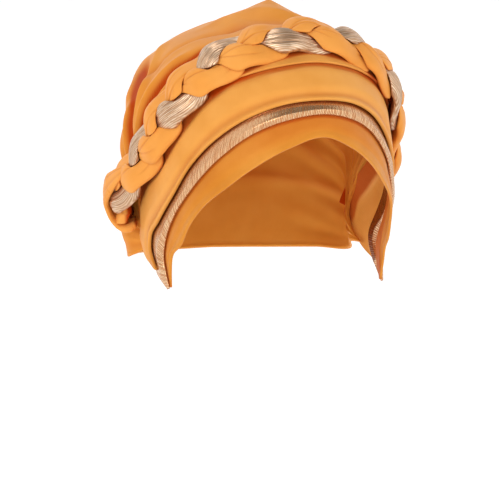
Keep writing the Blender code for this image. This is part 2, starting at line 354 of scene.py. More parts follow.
def form_size(point, lift):
    """How far out a place lies in the lifted head form: less than 1 inside it, 1 on it."""
    low = 1 - TAPER_PER_100 * (np.minimum(point[..., 2], 0) / 100) ** 2
    across = point[..., 0] / (HEAD_HALF_WIDTH + lift)
    flat = np.hypot(across, point[..., 1] / (HEAD_HALF_DEPTH + lift)) / low
    tall = np.clip(point[..., 2], 0, None) / (HEAD_RISE + lift)
    return (flat**DOME_ROUNDNESS + tall**DOME_ROUNDNESS) ** (1 / DOME_ROUNDNESS)


def out_of_head(direction, lift):
    """The point where a ray from the middle of the crown leaves the lifted head form.

    The distance is halved in on, because the form has no closed formula along a slanted ray.
    """
    centre = np.array(CROWN_CENTRE)
    near = np.zeros(direction.shape[:-1])
    far = np.full(direction.shape[:-1], 3 * HEAD_HALF_DEPTH)
    for _ in range(32):
        middle = (near + far) / 2
        inside = form_size(centre + middle[..., None] * direction, lift) < 1
        near = np.where(inside, middle, near)
        far = np.where(inside, far, middle)
    return centre + near[..., None] * direction


def off_head(points, lift):
    """Points with each one that lies inside the lifted head form moved out onto it.

    A point inside is divided by its size there. Under the rim only its distance from the axis
    changes.
    """
    out = 1 / np.clip(form_size(points, lift), 0.5, 1)[..., None]
    rise = points[..., 2:]
    return np.concatenate([points[..., :2] * out, np.where(rise > 0, rise * out, rise)], axis=-1)


def ease(value):
    """Runs from 0 to 1 with level ends: three squares less two cubes of the clipped value."""
    value = np.clip(value, 0, 1)
    return value**2 * (3 - 2 * value)


def bell(distance, half_width, sharp=0.0):
    """A ridge of height 1: a bell curve, mixed with a pointed one by how sharp its line is."""
    reach = np.abs(distance) / half_width
    return (1 - sharp) * np.exp(-(reach**2)) + sharp * np.exp(-1.6 * reach)


def unit(vectors):
    """Vectors made one long."""
    return vectors / np.linalg.norm(vectors, axis=1)[:, None]


def square_to(vectors, line):
    """The unit parts of vectors that are square to unit directions along a line."""
    return unit(vectors - line * (vectors * line).sum(axis=1)[:, None])


def sweep(line, first, second, section):
    """Sections laid across a line, in the two directions that go with each of its points."""
    return line[:, None] + section[..., :1] * first[:, None] + section[..., 1:] * second[:, None]


def settle(points):
    """The wearer's left side, which lies closer over the temple and stands out at the ear."""
    weight = ease(points[..., 0] / 60)
    rise = points[..., 2]
    shift = -SETTLE_IN * ease((rise + 25) / 35) + SETTLE_OUT * ease((-rise - 22) / 26)
    moved = points.copy()
    moved[..., 0] += weight * shift
    return moved


def ring_grid(points):
    """The numbers of the points of a grid of rings, and the quads between neighbouring rings."""
    index = np.arange(points.shape[0] * points.shape[1]).reshape(points.shape[:2])
    turned = np.roll(index, -1, axis=1)
    quads = np.stack([index[:-1], index[1:], turned[1:], turned[:-1]], axis=-1)
    return index, quads.reshape(-1, 4).tolist()


def add_object(name, points, faces):
    """A smooth mesh from points in metres, put into the scene."""
    mesh = bpy.data.meshes.new(name)
    mesh.from_pydata(points.reshape(-1, 3).tolist(), [], faces)
    mesh.shade_smooth()
    made = bpy.data.objects.new(name, mesh)
    bpy.context.scene.collection.objects.link(made)
    return made


def add_piece(name, points, faces, values):
    """A closed piece, turned right side out by the sign of its volume, with its cloth coordinates.

    The volume is the sum of the corner triple products of its faces over six.
    """
    points = settle(points) * MM
    flat = points.reshape(-1, 3)
    quads = np.array([face for face in faces if len(face) == 4])
    first, second, third, last = (flat[quads[:, corner]] for corner in range(4))
    volume = (first * np.cross(second, third)).sum() + (first * np.cross(third, last)).sum()
    if volume < 0:
        faces = [face[::-1] for face in faces]
    piece = add_object(name, points, faces)
    layer = piece.data.attributes.new("cloth", "FLOAT_VECTOR", "POINT")
    layer.data.foreach_set("vector", values.reshape(-1, 3).astype(np.float32).ravel())
    return piece


def edge_spread(count):
    """Places across a band from 0 to 1, closer together at both edges: half a cosine wave."""
    return (1 - np.cos(np.linspace(0, np.pi, count))) / 2


def crown_spread(count):
    """Places from the braid back to the hem, closest over the part with the sharp folds."""
    share = np.linspace(0, 1, 400)
    density = 1 + 1.6 * (1 - ease((share - 0.38) / 0.12))
    density += 3 * bell(share, 0.012) + 4 * bell(1 - share, 0.012)
    filled = np.concatenate([[0.0], np.cumsum((density[1:] + density[:-1]) / 2)])
    return np.interp(np.linspace(0, 1, count), filled / filled[-1], share)


def shell(name, place, width, relief, wall, hems, grid):
    """A cloth wall swept from ear to ear with a closed section: outside, hem, inside, front edge.

    The section runs over the outside from the front edge to the hem, turns round it on half a
    circle, comes back on the inside and turns round the front edge. Its half thickness is half
    the wall, and swells at each edge to the radius of the rolled hem.
    """
    columns, over = grid
    across = len(over)
    along = np.linspace(-1, 1, columns + 1)[:, None]
    width = np.broadcast_to(np.reshape(width, (-1, 1)), (columns + 1, 1))
    room = width * 0.35
    front, back = (np.minimum(hem, room) for hem in hems)
    half = np.minimum(wall / 2, room)

    def thick(share):
        distance = share * width
        rest = (1 - share) * width
        return (
            half
            + (front - half) * np.exp(-((distance / (1.6 * front)) ** 2))
            + (back - half) * np.exp(-((rest / (1.6 * back)) ** 2))
        )

    share = over[None, :] + (front - (front + back) * over[None, :]) / width
    outside = thick(share)
    round_edge = np.linspace(-np.pi / 2, np.pi / 2, EDGE_STEPS + 2)[1:-1][None, :]
    back_share = 1 - back / width + back * np.cos(round_edge) / width
    front_share = front / width - front * np.cos(round_edge) / width
    shares = np.concatenate([share, back_share, share[:, ::-1], front_share], axis=1)
    turned = np.sin(round_edge)
    heights = [outside, -back * turned, -outside[:, ::-1], front * turned]
    # Each relief also gives a painted shade value, which the cloth attribute carries to the
    # material
    bumps, painted_shade = relief(along, shares, width)
    points = place(along, shares, bumps + np.concatenate(heights, axis=1))
    span = np.linalg.norm(np.diff(points[:, across // 2], axis=0), axis=1).sum() / 2
    run = np.broadcast_to(along * span, shares.shape)
    values = np.stack([run, shares * width, painted_shade], axis=-1)
    index, faces = ring_grid(points)
    for row, way in ((index[0], 1), (index[-1], -1)):
        upper = row[:across]
        lower = row[across + EDGE_STEPS : 2 * across + EDGE_STEPS][::-1]
        caps = np.stack([upper[:-1], upper[1:], lower[1:], lower[:-1]], axis=-1)
        faces += caps[:, ::way].tolist()
        faces.append(row[across - 1 : across + EDGE_STEPS + 1][::way].tolist())
        faces.append(np.append(row[2 * across + EDGE_STEPS - 1 :], row[0])[::way].tolist())
    return add_piece(name, points, faces, values)


def band_place(sections, lift):
    """The place on a band for a share from ear to ear, a share of its width and a height."""
    table = both_sides(sections, (0, 2))

    def place(along, share, height):
        front_turn, front_rise, back_turn, back_rise = smooth(table, along[:, 0]).T[:, :, None]
        turn = front_turn + (back_turn - front_turn) * share
        rise = front_rise + (back_rise - front_rise) * share
        return on_head(turn, rise, lift + height)

    return place


def band_width(sections, lift):
    """The distance from the front edge to the back edge of a band, column by column."""
    along = np.linspace(-1, 1, BAND_COLUMNS + 1)[:, None]
    edges = band_place(sections, lift)(along, np.array([[0.0, 1.0]]), 0.0)
    return np.maximum(np.linalg.norm(edges[:, 1] - edges[:, 0], axis=1), 0.6)


def shown_width(sections, over, lap=0.8):
    """How far a band shows from its front edge to what covers it, column by column.

    The crossing is the first place across the band that lies closer than the lap to the line of
    the cover, read between 61 places. A column that the cover doesn't reach shows all its width.
    """
    along = np.linspace(-1, 1, BAND_COLUMNS + 1)[:, None]
    own = band_place(sections, 0.0)(along, np.linspace(0, 1, 61)[None, :], 0.0)
    turn, rise = smooth(both_sides(over, (0,)), np.linspace(-1, 1, 500)).T[:2]
    apart = own[:, :, None, :] - on_head(turn, rise, 0.0)
    apart = np.linalg.norm(apart, axis=3).min(axis=2) - lap
    under = apart < 0
    place = np.argmax(under, axis=1)
    row = np.arange(BAND_COLUMNS + 1)
    before = apart[row, np.maximum(place - 1, 0)]
    part = before / np.maximum(before - apart[row, place], 1e-6)
    crossing = np.where(place > 0, (place - 1 + np.clip(part, 0, 1)) / 60, 0.0)
    width = np.linalg.norm(own[:, -1] - own[:, 0], axis=1)
    shown = np.where(under.any(axis=1), crossing * width, width + 6.0)
    kernel = np.exp(-(np.linspace(-2, 2, 9) ** 2))
    padded = np.pad(shown, 4, mode="edge")
    return np.convolve(padded, kernel / kernel.sum(), mode="valid")[:, None]


def tucked(distance, shown, reach):
    """How deep a place lies in the corner under a covering edge, from 0 in the open to 1."""
    return ease((distance - shown + reach) / reach)


def band(name, sections, lift, hems, relief, across=BAND_ACROSS):
    """A band of cloth from ear to ear with its own relief and rolled edges."""
    width = band_width(sections, lift)
    grid = (BAND_COLUMNS, edge_spread(across))
    return shell(name, band_place(sections, lift), width, relief, CLOTH_WALL, hems, grid)


def inner_relief(along, share, width):
    """The inner band rolls at the rim, dips behind it and swells again before the gold band.

    Its colour gets painted shade from the bands over it, deepest over the middle of the forehead.
    """
    shown = shown_width(INNER_SECTIONS, GOLD_SECTIONS)
    distance = share * width
    reach = np.clip(distance / np.maximum(shown, 3.0), 0, 1)
    wide = ease((shown - 4) / 6)
    swell = 1.0 * np.sin(np.pi * reach) ** 0.8
    dip = -0.9 * bell(reach - 0.36 - 0.06 * np.sin(5 * along), 0.14, 0.2) * wide
    roll = 0.5 * bell(distance - 1.6, 1.8)
    ends = ease((1 - np.abs(along)) / 0.12)
    middle = 0.14 + 0.2 * (1 - ease((np.abs(along) - 0.15) / 0.3))
    # Painted shade: growing towards the gold band, most over the middle, darkest under its edge
    painted_shade = middle * ease((reach - 0.15) / 0.5) + 0.5 * tucked(distance, shown, 1.3)
    return (swell + dip + roll) * ends, np.clip(painted_shade, 0, 1)


def gold_relief(along, share, width):
    """The gold band is rounded over the strip that shows, fullest in its lower third."""
    shown = shown_width(GOLD_SECTIONS, WIDE_SECTIONS)
    distance = share * width
    reach = np.clip(distance / np.maximum(shown, 3.0), 0, 1)
    puff = 1.5 * np.sin(np.pi * reach**0.72) + 0.55 * bell(reach - 0.35, 0.16)
    ends = ease((1 - np.abs(along)) / 0.1)
    # Painted shade in the corner under the wide band's edge
    return puff * ends, tucked(distance, shown, 1.0)


def wide_relief(along, share, width):
    """The wide band rolls at its lower edge, dips over that and swells to the strip above.

    Near the ears it is pulled into long tucks, and it lies flat under the braid.
    """
    distance = share * width
    strip = shown_width(WIDE_SECTIONS, UPPER_SECTIONS)
    narrower = 7.0 * ease((np.abs(along) - 0.68) / 0.14)
    braid = shown_width(WIDE_SECTIONS, BRAID_LINE, BRAID_HALF_WIDTH - BRAID_INSET - narrower)
    roll = 1.2 * bell(distance - 2.2, 2.0)
    swell = 1.3 * ease((distance - 5.5 - 0.8 * np.sin(4 * along + 0.6)) / 7.0)
    wave = 0.45 * np.sin(distance / 8.0 + 2.2 * along) * ease((distance - 6) / 6)
    near_ear = ease((np.abs(along) - 0.6) / 0.2)
    tucks = 0.3 * np.sin(distance / 3.4 + 9 * along) * near_ear * ease(share * 3)
    open_place = 1 - tucked(distance, np.minimum(strip, braid), 4.0)
    ends = ease((1 - np.abs(along)) / 0.08)
    # Painted shade in the dip over the roll, under the folded strip and beside the braid
    hollow_shade = 0.28 * bell(distance - 5.6, 2.0)
    painted_shade = hollow_shade + 0.75 * tucked(distance, strip, 1.3) + 0.8 * tucked(distance, braid, 2.4)
    return (roll + (swell + wave + tucks) * open_place) * ends, np.clip(painted_shade, 0, 1)


def upper_relief(along, share, width):
    """The folded strip rises a little behind its front fold, with painted shade under the braid.
    """
    distance = share * width
    braid = shown_width(UPPER_SECTIONS, BRAID_LINE, BRAID_HALF_WIDTH - BRAID_INSET)
    rise = 0.4 * bell(distance - 2.5, 2.5) * ease((1 - np.abs(along)) / 0.1)
    return rise, 0.85 * tucked(distance, braid, 2.4)


def braid_frame(length_at):
    """The centre line of the braid at lengths along it, with its directions and its two sizes.

    The directions point out of the head and towards the face. The sizes scale the section across
    and through the braid, which is pulled a little flatter over the wearer's left temple. Last
    comes the whole length.
    """
    share = np.linspace(-1, 1, 1601)
    turn, rise, push = smooth(both_sides(BRAID_LINE, (0,)), share).T
    to_end = np.clip((np.abs(share) - 1 + BRAID_END_SHARE) / BRAID_END_SHARE, 0, 1)
    ends = 1 - BRAID_END_SHRINK * to_end**2
    thick = (1 + BRAID_END_SWELL * to_end) * (1 - 0.1 * bell(share - 0.3, 0.16))
    lift = BRAID_SEAT + BRAID_HALF_THICK * ends * thick + push
    line_points = on_head(turn, rise, lift)
    under = on_head(turn, rise, lift - 1.0)
    step = np.linalg.norm(np.diff(line_points, axis=0), axis=1)
    length = np.concatenate([[0.0], np.cumsum(step)])

    def read(values):
        return np.stack([np.interp(length_at, length, column) for column in values.T], axis=-1)

    along = unit(np.gradient(line_points, axis=0))
    out = square_to(line_points - under, along)
    face = np.cross(along, out)
    size = np.stack([ends, ends * thick], axis=-1)
    return read(line_points), read(out), read(face), read(size), length[-1]


def strand_line(number, phase, size):
    """Where a strand runs in the section of the braid: to and fro, and over and under.

    It swings with the sine of its phase and goes over and under with the sine of twice its phase.
    """
    turn = phase + 2 * np.pi * number / 3
    line = np.stack([BRAID_SWING * np.sin(turn), BRAID_WEAVE * np.sin(2 * turn)], axis=-1)
    return line * size


def tube(name, points, values):
    """A closed tube through rings of points, with a flat face at each end."""
    index, faces = ring_grid(points)
    faces += [index[0].tolist(), index[-1, ::-1].tolist()]
    return add_piece(name, points, faces, values)


def strand(name, which, half_width, half_thick, pleats):
    """One strand of the braid, a flat closed tube round its own line in the braid.

    The section is a superellipse that reaches out to the edge of the braid on the side that the
    strand has swung to. Planes between the strands press it where they meet, and the pleats take
    their depth off its radius.
    """
    total = braid_frame(np.array([0.0]))[4]
    length = np.linspace(2.0, total - 2.0, STRAND_RINGS)
    centre, out, face, size, _ = braid_frame(length)
    pulled = length + BRAID_PULL * bell(length - 0.45 * total, 62.0)
    phase = 2 * np.pi * (pulled - BRAID_START) / BRAID_PERIOD
    own = strand_line(which, phase, size)
    own_phase = (phase + 2 * np.pi * which / 3)[:, None]
    swing = np.sin(own_phase)

    spread = np.linspace(0, 2 * np.pi, STRAND_SIDES, endpoint=False)
    around = np.arctan2(0.42 * np.sin(spread), np.cos(spread))
    way = np.stack([np.cos(around), np.sin(around)], axis=-1)
    side = np.sign(way[None, :, 0])
    to_edge = BRAID_HALF_WIDTH - BRAID_SWING * side * swing
    half = half_width + (to_edge - half_width) * ease(side * swing / 0.75)
    half = half * size[:, :1]
    deep = half_thick * size[:, 1:]
    free = (
        np.abs(way[:, 0] / half) ** SECTION_POWER + np.abs(way[:, 1] / deep) ** SECTION_POWER
    ) ** (-1 / SECTION_POWER)
    limits = [free]
    for other in range(3):
        if other == which:
            continue
        apart = strand_line(other, phase, size) - own
        normal = unit(apart * (1.0, PRESS_RATIO))
        room = (apart * normal).sum(axis=1) / 2 - 0.1
        towards = np.clip(normal @ way.T, 1e-3, None)
        limits.append(np.clip(room, 0.4, None)[:, None] / towards)
    radius = sum(limit**-14.0 for limit in limits) ** (-1 / 14.0)
    # Painted shade where the strands press on each other
    painted_shade = ease((free / radius - 1.03) / 0.25)
    across = way[:, 0] * radius / half
    # The pleats also give painted shade along their folds
    depth, fold_shade = pleats(own_phase, across, length[:, None])
    radius = radius - depth * np.minimum(radius / deep, 1)
    flat = own[:, None, :] + radius[:, :, None] * way
    # Painted shade on the underside, close to the band below
    under = ease((-flat[..., 1] - 1.2) / 3.0)
    flat[..., 1] -= BRAID_EDGE_DROP * (flat[..., 0] / BRAID_HALF_WIDTH) ** 2
    points = off_head(sweep(centre, face, out, flat), BRAID_REST)
    run = np.broadcast_to(length[:, None], radius.shape)
    shade = np.clip(painted_shade + fold_shade + under, 0, 1)
    return tube(name, points, np.stack([run, across * half, shade], axis=-1))


def orange_pleats(phase, across, length):
    """One long fold line along the inner side of a smooth strand, and a weaker one outside it."""
    inner = -np.sin(phase)
    line = 0.40 * inner + 0.09 * np.sin(0.16 * length + 1.0)
    strong = 0.65 + 0.35 * np.sin(0.21 * length + 2.0)
    fold = bell(across - line, 0.055, 0.5) * strong
    lip = bell(across - line + 0.12 * np.sign(inner), 0.10) * strong
    second = bell(across + 0.45 * inner - 0.12 * np.sin(0.09 * length), 0.06, 0.5)
    second = second * ease(0.5 + np.sin(0.13 * length + 4.0))
    soft = 0.18 * np.sin(6 * across + 0.07 * length)
    # The second value is painted shade along the fold lines
    return 1.2 * fold - 0.35 * lip + 0.7 * second + soft, 0.6 * fold + 0.25 * second


def gold_pleats(phase, across, length):
    """Many fine pleats along a gathered metallic strand, with a few deeper ones between."""
    drift = 0.10 * np.sin(phase) + 0.05 * np.sin(0.11 * length)
    fine = 1 - np.abs(np.sin(np.pi * 6.5 * (across + drift)))
    coarse = (0.5 + 0.5 * np.cos(2 * np.pi * 1.9 * (across - 1.4 * drift) + 0.6)) ** 8
    # The second value is painted shade in the pleats' valleys
    return 0.32 * fine**2 + 0.5 * coarse, 0.22 * fine**3 + 0.22 * coarse


def end_wrap(name, side):
    """The cloth that wraps the end of the braid behind an ear and is tucked under it.

    Its line is a smooth curve through the rows of a table in the braid's own directions, and past
    the end of the braid those directions are kept. The section is a superellipse.
    """
    total = braid_frame(np.array([0.0]))[4]
    share = np.linspace(0, 1, WRAP_RINGS)
    length, height, across, half_width, half_thick = smooth(END_WRAP, share).T
    inside = np.clip(length, 0, None)
    at = inside if side < 0 else total - inside
    centre, out, face, _, _ = braid_frame(at)
    first, second = braid_frame(np.array([0.0, 1.0] if side < 0 else [total, total - 1.0]))[0]
    past = (length - inside)[:, None] * (second - first)
    line = centre + past + height[:, None] * out + across[:, None] * face
    step = unit(np.gradient(line, axis=0))
    flank = square_to(face, step)
    around = np.linspace(0, 2 * np.pi, WRAP_SIDES, endpoint=False)[None, :]
    round_to = 2 / 2.6
    cos, sin = np.cos(around), np.sin(around)
    wide = np.sign(cos) * np.abs(cos) ** round_to * half_width[:, None]
    thick = np.sign(sin) * np.abs(sin) ** round_to * half_thick[:, None]
    fold = bell(cos - 0.25, 0.1, 0.5) + 0.8 * bell(cos + 0.45, 0.1, 0.5)
    thick = thick * (1 - 0.3 * fold)
    points = sweep(line, flank, np.cross(flank, step), np.stack([wide, thick], axis=-1))
    # Painted shade along the two fold lines of the wrap
    run, fold_shade = (np.broadcast_to(part, wide.shape) for part in (60 * share[:, None], 0.4 * fold))
    return tube(name, points, np.stack([run, wide, fold_shade], axis=-1))


def crown_directions(turn, rise):
    """Directions from the middle of the crown to an edge line, as a side angle and a tip angle.

    The side angle leans from the middle plane to the ear. The tip angle goes from the face over
    the top to the nape.
    """
    point = on_head(turn, rise, UPPER_LIFT) - np.array(CROWN_CENTRE)
    side = np.arctan2(point[:, 0], np.hypot(point[:, 1], point[:, 2]))
    tip = np.arctan2(point[:, 2], -point[:, 1])
    return side, np.where(tip < -np.pi / 2, tip + 2 * np.pi, tip)


def crown_place(along, share, height):
    """The place on the crown for a share from ear to ear, a share of the way back and a height."""
    turn, rise = smooth(both_sides(CROWN_FRONT, (0,)), along[:, 0]).T
    front_side, front_tip = (angle[:, None] for angle in crown_directions(turn, rise))
    turn, rise = smooth(both_sides(CROWN_HEM, (0,)), along[:, 0]).T
    hem_side, hem_tip = (angle[:, None] for angle in crown_directions(180 - turn, rise))
    side = front_side + (hem_side - front_side) * share
    tip = front_tip + (hem_tip - front_tip) * share
    direction = np.stack(
        [np.sin(side), -np.cos(side) * np.cos(tip), np.cos(side) * np.sin(tip)], axis=-1
    )
    return out_of_head(direction, height)


def crown_slack(along, share):
    """The lift of the crown, on smooth curves both ways through the table of its slack."""
    rows = smooth(CROWN_SLACK, share)
    places = np.array(SLACK_PLACES)
    slope = np.gradient(rows, places, axis=-1)
    k, step, t = stretch(places, np.broadcast_to(np.abs(along), share.shape))

    def pick(values, where):
        return np.take_along_axis(values, where[..., None], axis=-1)[..., 0]

    return cubic(t, step, pick(rows, k), pick(slope, k), pick(rows, k + 1), pick(slope, k + 1))


def crown_relief(along, share, width):
    """The slack of the crown with its folds, its standing corner and fine gathers near the ears.

    Each fold is a ridge or valley along a smooth line in shares, faded at both ends.
    """
    lift = crown_slack(along, share)
    painted_shade = np.zeros(share.shape)
    edge = ease(share / 0.07) * ease((1 - np.abs(along)) / 0.14)
    for height, half_width, sharp, fold_shade, *line in CROWN_FOLDS:
        line = np.reshape(line, (-1, 2))
        way = (along - line[0][0]) / (line[-1][0] - line[0][0])
        middle = smooth(line, along)[..., 0]
        fade = ease(way / 0.22) * ease((1 - way) / 0.22) * edge
        lift = lift + height * bell(share - middle, half_width, sharp) * fade
        # Painted shade in the depth of each fold
        painted_shade += fold_shade * bell(share - middle, 0.75 * half_width, sharp) * fade
    peak_along = (along - PEAK_ALONG) / PEAK_HALF_ALONG
    from_peak = np.hypot(peak_along, (share - PEAK_BACK) / PEAK_HALF_BACK)
    lift = lift + PEAK_HEIGHT * np.clip(1 - from_peak, 0, 1) ** 1.3
    flap_along = (np.abs(along) - FLAP_ALONG) / FLAP_HALF_ALONG
    flap_back = (share - FLAP_BACK) / FLAP_HALF_BACK
    lift = lift + FLAP_HEIGHT * np.exp(-(flap_along**2) - flap_back**2)
    bent = share + 0.012 * np.sin(14 * share + 6 * along)
    gathers = np.sin(54 * bent + 3 * along) * 0.7 + np.sin(91 * bent - 5 * along + 1.0) * 0.4
    near_ear = ease((np.abs(along) - 0.3) / 0.35)
    lift = lift + gathers * near_ear * edge * ease((1 - share) / 0.08)
    # Painted shade beside the braid and in the valleys of the gathers
    shade_beside_braid = 0.5 * (1 - ease((share * width - 2.0) / 6.0))
    painted_shade += shade_beside_braid + 0.12 * np.clip(-gathers, 0, 1) * near_ear
    return lift, np.clip(painted_shade, 0, 1)


def hex_colour(code):
    """A hex sRGB colour as linear values: the standard curve with its straight foot."""
    parts = [int(code[place : place + 2], 16) / 255 for place in (1, 3, 5)]
    linear = [
        part / 12.92 if part <= 0.04045 else ((part + 0.055) / 1.055) ** 2.4 for part in parts
    ]
    return (*linear, 1.0)


def set_inputs(owner, node, inputs):
    """Named inputs of a node of a material or world: plain values or other nodes' outputs."""
    for key, value in inputs.items():
        if isinstance(value, bpy.types.NodeSocket):
            owner.node_tree.links.new(value, node.inputs[key])
        else:
            node.inputs[key].default_value = value


def add_node(material, kind, inputs=None, **settings):
    """One shader node with its settings and its inputs."""
    made = material.node_tree.nodes.new(kind)
    for key, value in settings.items():
        setattr(made, key, value)
    set_inputs(material, made, inputs or {})
    return made


def new_material(name):
    """An empty node material and its Principled shader, joined to its output."""
    material = bpy.data.materials.new(name)
    material.use_nodes = True
    material.node_tree.nodes.clear()
    shader = add_node(material, "ShaderNodeBsdfPrincipled")
    add_node(material, "ShaderNodeOutputMaterial", {"Surface": shader.outputs["BSDF"]})
    return material, shader


def ramp(material, factor, stops):
    """A colour ramp through hex colours at their places."""
    made = add_node(material, "ShaderNodeValToRGB", {"Fac": factor})
    elements = made.color_ramp.elements
    while len(elements) < len(stops):
        elements.new(0.5)
    for element, (place, code) in zip(elements, stops):
        element.position = place
        element.color = hex_colour(code)
    return made.outputs["Color"]


def mix_colour(material, factor, start, end):
    """Two colours mixed by a factor; each is a hex colour or another node's output."""
    start, end = (hex_colour(part) if isinstance(part, str) else part for part in (start, end))
    inputs = {0: factor, 6: start, 7: end}
    return add_node(material, "ShaderNodeMix", inputs, data_type="RGBA").outputs[2]


def cloth_values(material):
    """The cloth's own coordinates and its painted shade value, out of the attribute of the mesh.
    """
    cloth = add_node(material, "ShaderNodeAttribute", attribute_name="cloth").outputs["Vector"]
    parts = add_node(material, "ShaderNodeSeparateXYZ", {"Vector": cloth})
    return cloth, parts.outputs["Z"]


def bump(material, height, strength, distance, under=None):
    """The normal that a height gives, over another normal where there is one."""
    inputs = {"Height": height, "Strength": strength, "Distance": distance}
    if under is not None:
        inputs["Normal"] = under
    return add_node(material, "ShaderNodeBump", inputs).outputs["Normal"]


def jersey_material(name, low, middle, high, gloss=0.3):
    """Polyester satin jersey, knitted fine and brushed: soft sheen, faint wales, slight mottling.

    The dye drifts between the low, middle and high colour. The gloss is how much the cloth shines.
    Where the shade value is high the dye is mixed towards a deep rust red, painted shade that
    stands for light bouncing in a crease and coming out redder. The wales are 0.5 mm apart on the
    real cloth and are drawn 1.3 mm apart so that they show.
    """
    material, shader = new_material(name)
    cloth, painted_shade = cloth_values(material)
    place = add_node(material, "ShaderNodeTexCoord").outputs["Object"]
    mottle = add_node(
        material,
        "ShaderNodeTexNoise",
        {"Vector": place, "Scale": 28.0, "Detail": 3.0, "Roughness": 0.55},
    )
    dyed = ramp(material, mottle.outputs["Fac"], ((0.25, low), (0.5, middle), (0.8, high)))
    # Painted shade: the dye mixed towards rust red where the shade value is high
    colour = mix_colour(material, painted_shade, dyed, "#B8420A")
    wales = add_node(
        material,
        "ShaderNodeTexWave",
        {"Vector": cloth, "Scale": 0.24, "Distortion": 0.8, "Detail": 1.0},
        bands_direction="X",
    )
    wrinkles = add_node(
        material, "ShaderNodeTexNoise", {"Vector": place, "Scale": 60.0, "Detail": 2.0}
    )
    fine = bump(material, wales.outputs["Fac"], 0.25, 0.0001)
    normal = bump(material, wrinkles.outputs["Fac"], 0.3, 0.0015, fine)
    set_inputs(
        material,
        shader,
        {
            "Base Color": colour,
            "Normal": normal,
            "Roughness": 0.46,
            "Specular IOR Level": gloss,
            "Specular Tint": hex_colour("#FFC27A"),
            "Sheen Weight": 0.2 * gloss,
            "Sheen Roughness": 0.4,
            "Sheen Tint": hex_colour("#FFC070"),
        },
    )
    return material


def lurex_material(name, slant, roughness, depth, colours):
    """Lurex jersey: flat metallic threads knitted over an orange ground, so it glints in lines.

    The threads are 0.6 mm apart on the real cloth and are drawn about 1.1 mm apart to show. The
    slant turns them on the cloth, the stretch makes the glints long the way that they run, and
    the depth is how strongly they stand out of the ground.
    """
    material, shader = new_material(name)
    cloth, painted_shade = cloth_values(material)
    leaned = add_node(
        material, "ShaderNodeMapping", {"Vector": cloth, "Rotation": (0.0, 0.0, slant)}
    ).outputs["Vector"]
    drawn = add_node(
        material, "ShaderNodeMapping", {"Vector": leaned, "Scale": (0.9, 0.07, 1.0)}
    ).outputs["Vector"]
    threads = add_node(
        material,
        "ShaderNodeTexWave",
        {"Vector": leaned, "Scale": 0.28, "Distortion": 0.7, "Detail": 2.0, "Detail Scale": 1.4},
        bands_direction="X",
    )
    glints = add_node(
        material,
        "ShaderNodeTexNoise",
        {"Vector": drawn, "Scale": 1.0, "Detail": 3.0, "Roughness": 0.7},
    )
    # The ramp's pale end is the metal thread's own colour; the glint noise also lightens the
    # colour
    # in streaks as painted glints, and the same value sets the metal and the bump
    mixed = add_node(
        material,
        "ShaderNodeMath",
        {0: threads.outputs["Fac"], 1: 0.3, 2: glints.outputs["Fac"]},
        operation="MULTIPLY_ADD",
    ).outputs["Value"]
    ground = ramp(material, mixed, tuple(zip((0.35, 0.6, 0.85), colours)))
    # Painted shade: the colour mixed towards dark brown where the shade value is high
    colour = mix_colour(material, painted_shade, ground, "#85481F")
    metal = add_node(
        material,
        "ShaderNodeMapRange",
        {"Value": mixed, "From Min": 0.4, "From Max": 0.8, "To Min": 0.45, "To Max": 0.95},
    )
    set_inputs(
        material,
        shader,
        {
            "Base Color": colour,
            "Metallic": metal.outputs["Result"],
            "Normal": bump(material, mixed, depth, 0.00025),
            "Roughness": roughness,
        },
    )
    return material


def size_in_mm(name, description, default, low, high):
    """A property for a length in millimetres."""
    description += ", in millimetres"
    return FloatProperty(name=name, description=description, default=default, min=low, max=high)


class TurbanSizes(bpy.types.PropertyGroup):
    """Sizes that a user would change."""

    hem_radius: size_in_mm(
        "Hem radius", "Radius of the rolled front edge of the wide band", 1.3, 0.6, 2.5
    )
    strand_half_width: size_in_mm(
        "Strand half width", "Half the width of a strand of the braid", 9.4, 6.0, 12.0
    )
    strand_half_thick: size_in_mm(
        "Strand half thickness", "Half the thickness of a strand of the braid", 3.5, 2.0, 6.0
    )


class TurbanView(bpy.types.PropertyGroup):
    """Where the camera stands, and the colour of the studio."""

    azimuth: FloatProperty(
        name="Azimuth",
        description="Turn of the camera round the turban, from straight in front",
        default=math.radians(-22),
        subtype="ANGLE",
        unit="ROTATION",
    )
    elevation: FloatProperty(
        name="Elevation",
        description="Angle of the camera over the horizon",
        default=math.radians(3),
        subtype="ANGLE",
        unit="ROTATION",
    )
    distance: FloatProperty(
        name="Distance",
        description="Distance from the camera to the axis of the head",
        default=2.2,
        min=0.5,
        subtype="DISTANCE",
        unit="LENGTH",
    )
    backdrop: FloatVectorProperty(
        name="Backdrop",
        description="Colour of the floor and the backdrop",
        default=(0.8, 0.8, 0.8),
        size=3,
        min=0.0,
        max=1.0,
        subtype="COLOR",
    )


def place_piece(piece, node, material):
    """Puts a piece on the root body in place of its solid, with its material."""
    piece.data.materials.append(material)
    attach(piece, "root")
    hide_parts(node)


